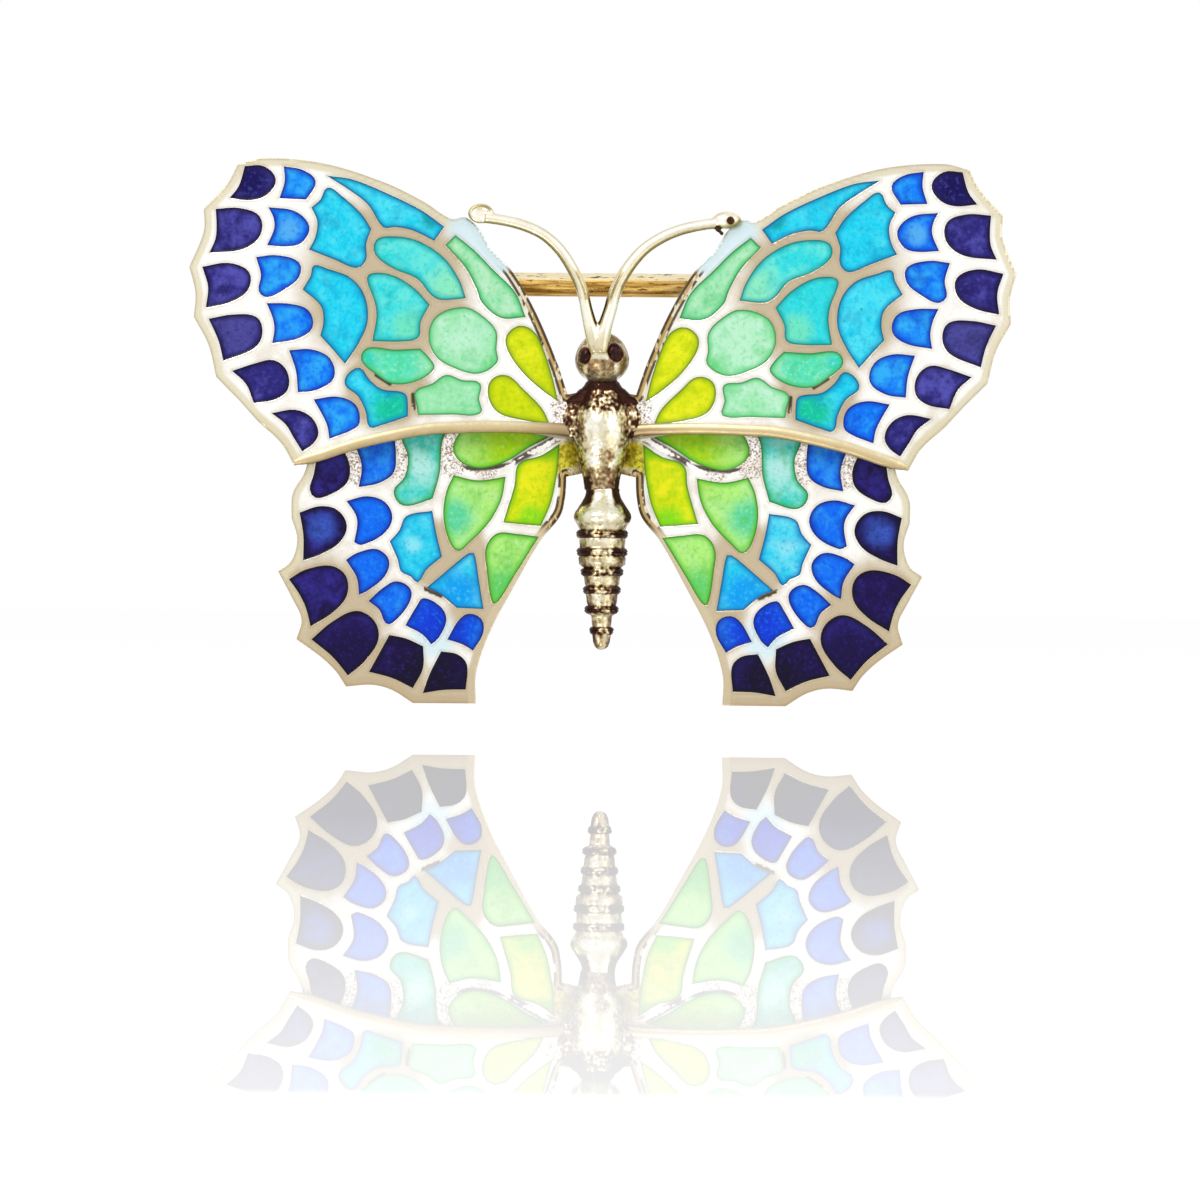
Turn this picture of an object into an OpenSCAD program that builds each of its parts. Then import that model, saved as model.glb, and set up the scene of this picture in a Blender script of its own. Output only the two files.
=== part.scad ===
// Enamelled butterfly brooch with a hinged pin and a turning safety catch.
// Drawn upright, as worn: X to the viewer's right, Y away from the viewer, Z up.
// Inside the modules Z is measured from the line between fore and hind wings and
// Y from the foremost line of the wings. The finished part is moved as a whole so
// that its origin lies in the middle of the pin stem.

/* [Wings] */
// Radius of the upright cylinder that the wings are bent to
wing_curve = 60; // [45:1:90]
// Distance of a wing's foremost line from the centre line of the body
wing_crown = 14; // [12:0.5:16]
// Thickness of one wing
wing_t = 0.9; // [0.8:0.05:1]
// Depth of the cells that hold the enamel
cell_depth = 0.5; // [0.4:0.05:0.6]
// How far the enamel lies below the tops of the cell walls
enamel_drop = 0.05; // [0.02:0.01:0.1]
// Longest chord along a curved edge
curve_step = 0.25; // [0.2:0.05:0.5]

/* [Body] */
// Distance of the body's long axis behind the foremost line of the wings
body_y = 1.6; // [1.5:0.05:1.7]
// Radius of the head
head_r = 1.35; // [1.3:0.05:1.4]
// Height of the head's centre above the wing line
head_z = 3.65; // [3.6:0.05:3.7]
// Distance of the head's centre behind the foremost line of the wings
head_y = 1.35; // [1.3:0.05:1.45]
// Height of the joint between head and neck
neck_z = 2.4; // [2.35:0.05:2.45]
// Height of the waist between thorax and abdomen
waist_z = -3; // [-3.1:0.05:-2.9]
// Radius of an eye
eye_r = 0.45; // [0.4:0.05:0.5]
// Height of each hoop round the abdomen
hoop_h = 0.36; // [0.3:0.02:0.4]
// How far the middle of a hoop stands out from its edges
hoop_round = 0.08; // [0.04:0.01:0.1]

/* [Antennae] */
// Radius of the antenna wire
feeler_r = 0.33; // [0.28:0.01:0.34]
// Radius of the ball on the end of an antenna
feeler_ball_r = 0.58; // [0.5:0.02:0.6]

/* [Pin] */
// Height of the pin above the wing line
pin_z = 7.4; // [7:0.1:8]
// Distance of the pin's axis behind the foremost line of the wings
pin_y = 3.4; // [3.4:0.1:4]
// Radius of the pin stem
pin_r = 0.6; // [0.5:0.05:0.6]
// Length of the round, untapered stretch of the stem
stem_len = 19.5; // [18:0.5:20]
// Distance of the point from the middle of the stem
tip_x = 14.6; // [14.2:0.1:15]
// Distance of the hinge's rivet from the middle of the stem
hinge_x = 12; // [11.6:0.1:12.4]
// Distance of the catch's middle from the middle of the stem
catch_x = 12; // [11.8:0.1:12.2]
// Clearance between the parts that turn on each other
turn_gap = 0.04; // [0.03:0.01:0.06]
// Width of the slot that the pin passes through in the fixed ring
ring_slot = 1.3; // [1.25:0.05:1.4]

/* [Hidden] */
$fn = 64;
layer_gap = 0.01;
reach = 20;

// ------------------------------------------------------------ smooth outlines

// Neighbours of point i on a closed outline
function before(p, i) = p[(i + len(p) - 1) % len(p)];
function after(p, i) = p[(i + 1) % len(p)];
function flat(q) = [q[0], q[1]];
function sharp(q) = len(q) > 2;

// Direction of a smooth outline where it passes point i
function heading(p, i) =
    let (d = flat(after(p, i)) - flat(before(p, i)))
    d / norm(d);

// Curve through the listed points; a third value marks a sharp corner. Each side
// leaves and meets smooth points along their heading, and corners along the side.
function smooth(p) = [
    for (i = [0 : len(p) - 1])
        let (
            j = (i + 1) % len(p),
            a = flat(p[i]),
            b = flat(p[j]),
            span = norm(b - a),
            ta = sharp(p[i]) ? b - a : heading(p, i) * span,
            tb = sharp(p[j]) ? b - a : heading(p, j) * span,
            steps = sharp(p[i]) && sharp(p[j]) ? 1 : ceil(span / curve_step)
        )
        for (k = [0 : steps - 1])
            let (t = k / steps)
            a * (2*t^3 - 3*t^2 + 1) + ta * (t^3 - 2*t^2 + t)
                + b * (3*t^2 - 2*t^3) + tb * (t^3 - t^2)
];

// ------------------------------------------------------------ wing outlines
// All are drawn as [x, z] for the wing on the viewer's right.

FORE_EDGE = [
    [0.7, 2, 1], [1.72, 1.8, 1], [2.3, 3.5], [3.4, 6], [4.6, 8], [5.6, 9],
    [6.2, 10], [6.9, 10.6], [7.6, 10.5], [9, 11.35], [11, 12.3], [14, 13.2],
    [17, 13.45], [18.3, 13.15, 1], [18.8, 12.2], [20, 10.9, 1], [19.98, 9.8],
    [20.7, 8, 1], [20.38, 6.7], [20.45, 5.5, 1], [19.7, 4.1], [19.3, 2.5, 1],
    [18.2, 1.4], [17.2, 0.3, 1], [16, -0.8], [15.35, -1.9, 1], [14, -1.5],
    [12, -0.85], [9, -0.2], [5, 0], [2, -0.4, 1], [0.7, -0.3, 1]
];

HIND_EDGE = [
    [14.6, -1, 1], [14.85, -2.2], [15.45, -3.3], [15.5, -4.5, 1], [15.2, -5.6],
    [15.5, -6.7], [16.15, -7.2, 1], [15.4, -8.6], [14.95, -9.6], [15.2, -10.6, 1],
    [14, -11.45], [13.2, -12.2], [12.7, -12.95, 1], [11.4, -12.85], [10.4, -13.1],
    [9.35, -13.75, 1], [6.2, -13.75, 1], [6.2, -12.2], [5.5, -10.1], [4.2, -7.6],
    [3, -5.5], [2.05, -4.3], [1.8, -3.3], [1.75, -2.3, 1], [0.8, -2.1, 1],
    [0.8, -0.6, 1], [2, 0.4, 1], [5, 1], [9, 0.8], [12, 0.2]
];

// Cells of each colour, root to tip where they run in rows
FORE_CELLS = [
    ["yellow", "yellow", [
        [[4.2, 5.2], [4.8, 4.7], [4.75, 4], [4, 2.9], [3, 2], [2.2, 1.45, 1],
         [2.5, 2.7], [3.05, 4.3], [3.5, 5]],
        [[5.2, 2.7], [5.65, 2.3], [5.65, 1.5], [5.2, 0.85], [4.3, 0.55], [2.6, 0.3, 1],
         [3, 1.1], [4, 2.1], [4.6, 2.65]]
    ]],
    ["mint", "palegreen", [
        [[6.9, 6.1], [5.9, 5.6], [5.3, 4.9], [5.3, 4], [5.25, 3.35], [6.2, 2.78],
         [7.4, 3.05], [8.3, 3.6], [8.7, 4.6], [8.3, 5.65]],
        [[6.1, 2.3], [7, 2.45], [7.8, 2.7], [8.5, 2.25], [9.35, 1.85], [9.25, 1.1],
         [9.2, 0.68, 1], [7.5, 0.72], [6.05, 0.8], [6.15, 1.5]]
    ]],
    ["green", "limegreen", [
        [[7.4, 9.7, 1], [7.9, 9.2, 1], [6.9, 8.1], [6.3, 7], [6.05, 6.35], [5.1, 5.6],
         [3.85, 5.65, 1], [4.4, 6.9], [5.5, 8], [6.5, 9]],
        [[9.1, 4, 1], [10.4, 3.93], [11.75, 4], [12.05, 3.4], [11.3, 2.68], [10.5, 2.22],
         [9.3, 2.35], [8.4, 3], [8.6, 3.5]]
    ]],
    ["turquoise", "turquoise", [
        [[11.35, 9.4], [11.4, 8.7], [10.5, 8], [9.3, 7.5], [8.6, 6.7], [8.1, 6.45],
         [6.85, 6.55, 1], [7.2, 7.5], [8, 8.6], [9.3, 9.4], [10.6, 9.6]],
        [[11.5, 7.75], [11.8, 7.5], [11.4, 6.3], [11.3, 5.6], [11.5, 4.35, 1],
         [10, 4.35], [9.2, 4.55], [9.1, 5.3], [8.65, 6.2, 1], [9.4, 7], [10.5, 7.65]]
    ]],
    ["cyan", "deepskyblue", [
        [[13.8, 12], [14.15, 11.4], [14.6, 11, 1], [14.3, 10.3], [14.4, 9.5],
         [14.7, 8.9, 1], [13.4, 8.4], [12.3, 8], [11.85, 8.4], [11.85, 9.2],
         [11.6, 9.95, 1], [12.1, 10.7], [13.1, 11.6]],
        [[14.45, 8.1], [14.6, 7.6], [15, 6.9, 1], [14.1, 6.1], [13.95, 5.3],
         [14.1, 4.6, 1], [13.5, 3.95], [12.85, 3.2, 1], [12.2, 4.2], [11.75, 5.3],
         [11.9, 6.6], [12.6, 7.5], [13.8, 7.95]],
        [[7.95, 10.1, 1], [8.45, 9.4, 1], [9.5, 9.9], [10.4, 10.07], [11, 10.05],
         [11.8, 11.2], [12.8, 11.95], [13.85, 12.6, 1], [12.5, 12.4], [10.5, 11.6],
         [9, 10.85]],
        [[9.7, 0.6, 1], [11, 0.15], [11.6, 0.05], [11.8, 0.8], [12.2, 1.6],
         [12.85, 2.15], [12.7, 2.7], [12.1, 3], [11.65, 2.45], [11, 1.95],
         [9.85, 1.75], [9.7, 1.2]]
    ]],
    ["blue", "blue", [
        [[16, 13.05, 1], [15, 12.85], [14.4, 12.3], [14.85, 11.4, 1], [16.2, 11.45, 1],
         [15.95, 12.3]],
        [[16.75, 11, 1], [15.4, 10.8], [14.7, 10.05], [15.05, 9.25], [15.7, 9.05],
         [16.8, 9.1, 1], [16.45, 9.95], [16.5, 10.5]],
        [[17.35, 8.5, 1], [16.3, 8.6], [15.2, 8.25], [15.2, 7.5], [15.9, 6.9],
         [16.75, 6.5], [17.2, 6.8], [17.1, 7.6]],
        [[16.8, 6.2, 1], [15.6, 6.17], [14.7, 5.85], [14.5, 5], [15.2, 4.45],
         [16.5, 4.2, 1], [16.4, 4.9], [16.5, 5.5]],
        [[15.65, 3.85, 1], [14.5, 3.9], [13.6, 3.45], [13.4, 2.5], [14.2, 1.9],
         [15.2, 1.75, 1], [15.3, 2.8]],
        [[14.4, 1.4, 1], [13.2, 1.55], [12.3, 1.15], [12.1, 0.25], [12.5, -0.12],
         [13.6, -0.55, 1], [13.75, 0.2]]
    ]],
    ["navy", "navy", [
        [[17.95, 13.05, 1], [17, 13.05], [16.4, 12.4], [16.8, 11.65], [17.6, 11.35],
         [18.7, 11.45, 1], [18.25, 12.05]],
        [[19.4, 10.9, 1], [18.2, 10.95], [17.2, 10.55], [17.15, 9.6], [18, 8.9],
         [19.7, 8.7, 1], [19.4, 9.4], [19.35, 10.1]],
        [[20.05, 8, 1], [18.7, 8.2], [17.7, 7.75], [17.75, 6.85], [18.6, 6.25],
         [19.85, 5.95, 1], [19.75, 7]],
        [[19.7, 5.4, 1], [18.5, 5.62], [17.3, 5.5], [17, 4.7], [17.4, 3.95],
         [18.95, 3.3, 1], [19.2, 4.3]],
        [[18.5, 2.8, 1], [17.3, 3.2], [16.4, 3.35], [15.75, 2.8], [15.7, 1.9],
         [16.3, 1.4], [17.4, 1.2, 1], [17.8, 2.15]],
        [[16.5, 0.7, 1], [15.3, 0.88], [14.5, 0.5], [14.15, -0.25], [14.4, -0.8],
         [14.95, -1.2, 1], [15.4, -0.5], [15.8, 0.15]]
    ]]
];

HIND_CELLS = [
    ["yellow", "yellow", [
        [[2.1, -0.65, 1], [3, -1.25], [4.15, -1.7], [4.35, -2.8], [4.9, -4.65, 1],
         [3, -4.8, 1], [2.5, -3.6], [2.2, -2]]
    ]],
    ["green", "limegreen", [
        [[4.8, -2.35, 1], [5, -3.5], [5.6, -4.65], [6.6, -5.7], [7.15, -6.1],
         [7.6, -5.6], [7.9, -4.3], [7.75, -3.1], [7.4, -2.3, 1], [6.2, -2.55]],
        [[2.6, -0.3, 1], [3.6, -0.85], [4.8, -1.6], [6.1, -1.95], [7.1, -1.6],
         [7.45, -0.9], [7, 0.1, 1], [4.5, 0.3]],
        [[3.1, -5.35, 1], [4.2, -5.22], [5.2, -5.2], [5.75, -5.9], [5.7, -7],
         [5.4, -8.7], [5.1, -8.6], [4.3, -7.3]]
    ]],
    ["turquoise", "turquoise", [
        [[7.7, 0.1, 1], [8, -0.7], [8.1, -2.2], [8.45, -3.5, 1], [9.9, -3.85],
         [10.4, -3.15], [9.85, -2.4], [9.7, -1.4], [10, -0.6], [10, 0, 1]]
    ]],
    ["cyan", "deepskyblue", [
        [[8.45, -4.1, 1], [9.75, -4.38], [10.1, -5.1], [10.57, -5.65, 1],
         [10.15, -6.6], [10, -7.15], [9.5, -7.4], [9.15, -7.7], [8.75, -7.1],
         [7.95, -6.4, 1], [8.25, -5.2]],
        [[6.35, -6.2], [6.1, -7.5], [5.85, -9, 1], [7.2, -8.95, 1], [8, -8.3],
         [8.7, -7.95, 1], [7.6, -7], [6.6, -6.2]]
    ]],
    ["blue", "blue", [
        [[10.4, -0.3, 1], [10.3, -1.2], [10.4, -2.2], [11.1, -2.72], [12.15, -2.95, 1],
         [12, -2], [12.15, -1.35], [12.4, -0.7, 1]],
        [[12.75, -3.65, 1], [11.7, -3.4], [10.8, -3.7], [10.45, -4.5], [10.9, -5.3],
         [12, -5.85], [12.35, -5.7, 1], [12.2, -4.8], [12.3, -4.3]],
        [[12.75, -6.6, 1], [12.2, -6.25], [11.2, -6.05], [10.6, -6.6], [10.8, -7.4],
         [11.6, -8.1], [12.08, -8.35, 1], [12.2, -7.5]],
        [[11.6, -8.65, 1], [10.9, -8], [10.2, -7.65], [9.5, -8.05], [9.6, -8.8],
         [10.4, -9.75], [10.75, -9.75], [11.05, -9.1]],
        [[9.75, -9.85, 1], [9.2, -8.9], [8.85, -8.48], [7.95, -8.95], [7.7, -9.6],
         [8.1, -10.5], [8.45, -10.8, 1], [8.9, -10.3]],
        [[7.65, -10.55, 1], [7.1, -9.6], [6.6, -9.25], [5.95, -9.5], [5.85, -10.2],
         [6.35, -11.1, 1], [6.9, -10.78]]
    ]],
    ["navy", "navy", [
        [[13, -0.9, 1], [12.6, -1.9], [12.75, -2.75], [13.6, -3.35], [14.3, -3.5],
         [14.6, -3.1], [14.4, -2.3], [14.25, -1.3, 1]],
        [[15.1, -4.25, 1], [14.1, -3.92], [13.2, -4.1], [12.72, -4.9], [13.1, -5.75],
         [14, -6.32], [14.9, -6.65, 1], [14.9, -5.4]],
        [[15.6, -7.6, 1], [14.8, -7.12], [13.5, -6.9], [12.75, -7.4], [12.7, -8.4],
         [13.4, -9.25], [14.5, -9.95, 1], [14.75, -9], [15.1, -8.3]],
        [[14.45, -10.6, 1], [13.4, -9.7], [12.2, -9.15], [11.3, -9.65], [11.1, -10.6],
         [11.8, -11.7], [12.6, -12.4, 1], [13.4, -11.45]],
        [[10.55, -10.35, 1], [9.7, -10.52], [8.85, -10.9, 1], [8.85, -12],
         [9.35, -13, 1], [10.4, -12.5], [11.55, -12.2, 1], [11, -11.2]],
        [[7.95, -11.15, 1], [7.1, -11.3], [6.65, -11.8], [6.7, -13.05, 1],
         [7.8, -13.08], [8.85, -13.25, 1], [8.5, -12.25]]
    ]]
];

// ------------------------------------------------------------ names

SIDES = ["left", "right"];
function wing_node(wing, side, cells) = str(wing, "_", side, "_", cells[0]);

// ------------------------------------------------------------ placing

// The whole part, moved so that the middle of the pin stem is the origin
module placed() {
    translate([0, -pin_y, -pin_z]) children();
}

module on_side(side) {
    if (side == "left") mirror([1, 0, 0]) children();
    else children();
}

// A flat [x, z] drawing made thick along Y
module through(front = -reach, back = reach) {
    translate([0, back, 0]) rotate([90, 0, 0]) linear_extrude(back - front) children();
}

// ------------------------------------------------------------ wings

module bend(r) {
    translate([wing_crown, wing_curve, -reach]) cylinder(h = 2 * reach, r = r, $fn = 360);
}

// Layer of a wing between two depths, on the side towards the viewer
module layer(front, back) {
    difference() {
        bend(wing_curve - front);
        bend(wing_curve - back);
    }
}

module wing_plate(edge, front) {
    intersection() {
        through(-1, wing_curve / 2) polygon(smooth(edge));
        layer(front, front + wing_t);
    }
}

module cells_through(colours, front) {
    through(-1, wing_curve / 2)
        for (colour = colours) for (cell = colour[2]) polygon(smooth(cell));
}

module wing_frame(edge, colours, front) {
    color("silver") difference() {
        wing_plate(edge, front);
        difference() {
            cells_through(colours);
            bend(wing_curve - front - cell_depth);
        }
    }
}

module fore_frame() {
    difference() {
        wing_frame(FORE_EDGE, FORE_CELLS, 0);
        feeler_ball(feeler_ball_r + layer_gap);
    }
}

module hind_frame() {
    wing_frame(HIND_EDGE, HIND_CELLS, wing_t + layer_gap);
}

// Enamel of one colour, fused into its cells
module enamel(colour, front) {
    color(colour[1]) intersection() {
        cells_through([colour]);
        layer(front + enamel_drop, front + cell_depth - layer_gap);
    }
}

// ------------------------------------------------------------ body

// Profiles of the body as [distance from the axis, height]
THORAX = [
    [0, waist_z, 1], [0.8, waist_z, 1], [0.94, -2.4], [1.17, -1.5], [1.38, -0.6],
    [1.46, 0.2], [1.38, 0.95], [1.14, 1.55], [0.84, 2.05], [0.72, neck_z, 1], [0, neck_z, 1]
];
WAIST = [[0, waist_z, 1], [0.8, waist_z, 1], [1.05, -3.5], [1.34, -4.05], [1.42, -4.35], [1.17, -4.75]];
TIP = [[0.33, -10.85], [0, -11, 1]];

// Hoops of the abdomen as [height, radius, radius of the body below the hoop]
HOOPS = [
    [-5.2, 1.3, 1.15], [-6.1, 1.29, 1.17], [-7.1, 1.08, 0.88], [-8, 0.96, 0.78],
    [-8.98, 0.87, 0.52], [-10.05, 0.62, 0.45]
];
below_hoop = 0.47;

module on_axis(y) {
    translate([0, y, 0]) children();
}

module wing_roots() {
    for (side = SIDES) on_side(side) {
        wing_plate(FORE_EDGE, 0);
        wing_plate(HIND_EDGE, wing_t + layer_gap);
    }
}

module thorax() {
    color("tan") difference() {
        on_axis(body_y) rotate_extrude() polygon(smooth(THORAX));
        wing_roots();
    }
}

ABDOMEN = concat(
    WAIST,
    [for (hoop = HOOPS) each [
        [hoop[1] - hoop_round, hoop[0] + hoop_h / 2, 1],
        [hoop[1], hoop[0]],
        [hoop[1] - hoop_round, hoop[0] - hoop_h / 2, 1],
        [hoop[2], hoop[0] - below_hoop]
    ]],
    TIP
);

module abdomen() {
    color("tan") on_axis(body_y) rotate_extrude() polygon(smooth(ABDOMEN));
}

// Direction from the head's centre to an eye, as a share of the head's radius
EYE_AIM = [0.63, -0.68, 0.17];

module eye_ball(r) {
    translate([0, head_y, head_z] + EYE_AIM * head_r) sphere(r);
}

module eye() {
    color("darkred") eye_ball(eye_r);
}

module head() {
    color("tan") difference() {
        translate([0, head_y, head_z]) sphere(head_r);
        translate([-reach / 2, -reach / 2, neck_z - reach]) cube(reach);
        for (side = SIDES) on_side(side) {
            eye_ball(eye_r + layer_gap);
            feeler_root();
        }
    }
}

// ------------------------------------------------------------ antennae

// Bend of the antenna: centre and radius of its arc, and the angles it runs through
FEELER_CENTRE = [6.1, 4.9];
feeler_bend_r = 5.55;
feeler_from = 93;
feeler_to = 160;
FEELER_END = [6.2, 10.62];

// Half of the flat wedge that the two antennae share on the brow
FEELER_ROOT = [
    [0, 3.7], [0.36, 4.1], [0.7, 5], [0.93, 6], [1.2, 6.69], [0.57, 6.91], [0.28, 6], [0, 5.3]
];

module feeler_root() {
    through(-feeler_r, feeler_r) polygon(FEELER_ROOT);
}

module feeler_ball(r) {
    translate([FEELER_END[0], 0, FEELER_END[1]]) sphere(r);
}

module antenna() {
    color("silver") {
        feeler_root();
        translate([FEELER_CENTRE[0], 0, FEELER_CENTRE[1]]) rotate([90, 0, 0])
            rotate([0, 0, feeler_from]) rotate_extrude(angle = feeler_to - feeler_from)
                translate([feeler_bend_r, 0]) circle(feeler_r);
        feeler_ball(feeler_ball_r);
    }
}

// ------------------------------------------------------------ pin and its hinge

fitting_t = 0.5;
ear_r = 0.9;
ear_t = 0.6;
ear_gap = 1.4;
rivet_r = 0.34;
rivet_head_r = 0.6;
rivet_head_h = 0.25;
knuckle_r = 0.85;
neck_r = 0.5;
point_r = 0.08;
wing_back = wing_curve - wing_t - layer_gap;

// Block on the back of a wing, its front face bent to lie on the wing
module foot(x, width, height) {
    intersection() {
        translate([x - width / 2, 0, pin_z - height / 2])
            cube([width, wing_t + fitting_t, height]);
        bend(wing_back);
    }
}

module at_hinge() {
    translate([hinge_x, pin_y, pin_z]) children();
}

module ear() {
    difference() {
        union() {
            cylinder(h = ear_t, r = ear_r);
            translate([-ear_r, wing_t + fitting_t / 2 - pin_y, 0])
                cube([2 * ear_r, pin_y - wing_t - fitting_t / 2, ear_t]);
        }
        translate([0, 0, -1]) cylinder(h = ear_t + 2, r = rivet_r + layer_gap);
    }
}

module hinge_base() {
    color("silver") {
        foot(hinge_x, 3.2, 3.4);
        at_hinge() for (flip = [0, 1]) mirror([0, 0, flip])
            translate([0, 0, ear_gap / 2]) ear();
    }
}

module hinge_rivet() {
    shank = ear_gap + 2 * ear_t;
    color("silver") at_hinge() {
        translate([0, 0, -shank / 2]) cylinder(h = shank, r = rivet_r);
        for (flip = [0, 1]) mirror([0, 0, flip])
            translate([0, 0, shank / 2]) cylinder(h = rivet_head_h, r = rivet_head_r);
    }
}

module pin_stem() {
    knuckle_h = ear_gap - 4 * turn_gap;
    color("goldenrod") difference() {
        union() {
            at_hinge() translate([0, 0, -knuckle_h / 2]) cylinder(h = knuckle_h, r = knuckle_r);
            translate([0, pin_y, pin_z]) rotate([0, 90, 0]) {
                translate([0, 0, -stem_len / 2]) cylinder(h = stem_len, r = pin_r);
                translate([0, 0, stem_len / 2])
                    cylinder(h = hinge_x - knuckle_r / 2 - stem_len / 2, r1 = pin_r, r2 = neck_r);
                translate([0, 0, -tip_x])
                    cylinder(h = tip_x - stem_len / 2, r1 = point_r, r2 = pin_r);
                translate([0, 0, -tip_x]) sphere(point_r);
            }
        }
        at_hinge() cylinder(h = 2 * ear_gap, r = rivet_r + turn_gap, center = true);
    }
}

// ------------------------------------------------------------ safety catch

ring_r = 1.85;
ring_bore_r = 1.35;
ring_w = 1.2;
rotor_bore_r = 0.62;
rotor_slot = 1.2;
flange_r = 1.7;
flange_t = 0.4;
tab_r = 0.55;
tab_reach = 2.6;
tab_angle = -55;

// X runs along the catch's own axis, and the slots open away from the brooch
module at_catch() {
    translate([-catch_x, pin_y, pin_z]) children();
}

module tube_x(width, r) {
    rotate([0, 90, 0]) cylinder(h = width, r = r, center = true);
}

module slot(width) {
    translate([-reach / 2, 0, -width / 2]) cube([reach, reach / 2, width]);
}

module catch_body() {
    color("silver") {
        mirror([1, 0, 0]) foot(catch_x, 2.6, 3.4);
        at_catch() difference() {
            union() {
                tube_x(ring_w, ring_r);
                translate([-ring_w / 2, wing_t + fitting_t / 2 - pin_y, -0.9])
                    cube([ring_w, pin_y - wing_t - fitting_t / 2 - ring_bore_r, 1.8]);
            }
            tube_x(2 * ring_w, ring_bore_r);
            slot(ring_slot);
        }
    }
}

module catch_rotor() {
    flange_x = ring_w / 2 + turn_gap + flange_t / 2;
    color("silver") at_catch() difference() {
        union() {
            tube_x(2 * flange_x, ring_bore_r - turn_gap);
            for (end = [-1, 1]) translate([end * flange_x, 0, 0]) tube_x(flange_t, flange_r);
            translate([-flange_x, 0, 0]) rotate([tab_angle, 0, 0]) {
                translate([-flange_t / 2, 0, -tab_r]) cube([flange_t, tab_reach, 2 * tab_r]);
                translate([0, tab_reach, 0]) tube_x(flange_t, tab_r);
            }
        }
        tube_x(4 * ring_w, rotor_bore_r);
        slot(rotor_slot);
    }
}

// ------------------------------------------------------------ the part

for (side = SIDES) {
    placed() on_side(side) fore_frame();
    placed() on_side(side) hind_frame();
    placed() on_side(side) antenna();
    placed() on_side(side) eye();
    for (cells = FORE_CELLS)
        placed() on_side(side) enamel(cells, 0);
    for (cells = HIND_CELLS)
        placed() on_side(side) enamel(cells, wing_t + layer_gap);
}
placed() head();
placed() thorax();
placed() abdomen();
placed() hinge_base();
placed() hinge_rivet();
placed() pin_stem();
placed() catch_body();
placed() catch_rotor();
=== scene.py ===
import math
import random

import bmesh
import bpy
from mathutils import Matrix, Vector, kdtree, noise


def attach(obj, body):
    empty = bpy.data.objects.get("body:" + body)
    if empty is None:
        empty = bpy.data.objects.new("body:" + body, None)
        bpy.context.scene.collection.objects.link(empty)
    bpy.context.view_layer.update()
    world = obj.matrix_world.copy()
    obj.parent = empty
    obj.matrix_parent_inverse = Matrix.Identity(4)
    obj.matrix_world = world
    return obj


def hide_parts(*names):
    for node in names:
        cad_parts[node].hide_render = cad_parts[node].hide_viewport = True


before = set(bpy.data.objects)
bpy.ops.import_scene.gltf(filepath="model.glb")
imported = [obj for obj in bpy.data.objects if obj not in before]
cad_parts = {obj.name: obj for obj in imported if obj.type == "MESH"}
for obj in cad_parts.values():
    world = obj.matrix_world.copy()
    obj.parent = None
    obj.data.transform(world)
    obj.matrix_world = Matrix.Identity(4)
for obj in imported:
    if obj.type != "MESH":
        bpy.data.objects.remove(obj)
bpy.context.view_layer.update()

MM = 0.001  # a millimetre in Blender's metres
FRONT = 3.4  # the wings' foremost line lies this far in front of the origin
WING_LINE = 7.4  # the wing line lies this far below the origin
CURVE = 60.0  # radius of the upright cylinder that the wings are bent to
CROWN = 14.0  # distance of a wing's foremost line from the body
LAYERS = {"fore": 0, "hind": 0.91}  # how far back each pair of wings lies
TOUCH = 1e-6  # points of a CAD mesh closer than this are one, m
SIDES = ("left", "right")


def place(x, z, y=0.0):
    """A point of the butterfly in mm, as metres in the model's frame."""
    return Vector((x, y - FRONT, z - WING_LINE)) * MM


def bent(x, depth):
    """How far the bent wing lies behind the foremost line at x, in mm."""
    r = CURVE - depth
    return CURVE - math.sqrt(r * r - (abs(x) - CROWN) ** 2)


# ---------- materials

class Value:
    """A socket of a material's nodes; arithmetic on it adds Math nodes."""

    def __init__(self, finish, socket):
        self.finish = finish
        self.socket = socket

    def math(self, operation, *others):
        return self.finish.node("Math", {"operation": operation},
                                dict(enumerate((self, *others))))

    def __add__(self, other):
        return self.math("ADD", other)

    def __sub__(self, other):
        return self.math("SUBTRACT", other)

    def __mul__(self, other):
        return self.math("MULTIPLY", other)

    def __rsub__(self, other):
        return (self * -1) + other

    def __pow__(self, other):
        return self.math("POWER", other)

    def __abs__(self):
        return self.math("ABSOLUTE")

    __radd__ = __add__
    __rmul__ = __mul__


def paint(r, g, b):
    """A colour of 0 to 255 as it shows on screen, in the shader's linear values."""
    return tuple((c / 255 / 12.92 if c <= 10 else ((c / 255 + 0.055) / 1.055) ** 2.4)
                 for c in (r, g, b)) + (1,)


class Nodes:
    """The nodes of a material or of the world."""

    def __init__(self, owner):
        self.owner = owner
        owner.use_nodes = True
        self.tree = owner.node_tree
        self.tree.nodes.clear()

    def node(self, kind, settings=None, sockets=None, out=0):
        made = self.tree.nodes.new("ShaderNode" + kind)
        for key, value in (settings or {}).items():
            setattr(made, key, value)
        for key, value in (sockets or {}).items():
            if isinstance(value, Value):
                self.tree.links.new(value.socket, made.inputs[key])
            else:
                made.inputs[key].default_value = value
        return Value(self, made.outputs[out]) if made.outputs else made

    def looked_at(self):
        """1 for what the camera sees, straight, mirrored or through glass."""
        rays = self.node("LightPath").socket.node.outputs
        seen = Value(self, rays["Is Camera Ray"])
        for name in ("Is Glossy Ray", "Is Transmission Ray"):
            seen = seen.math("MAXIMUM", Value(self, rays[name]))
        return seen


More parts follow.
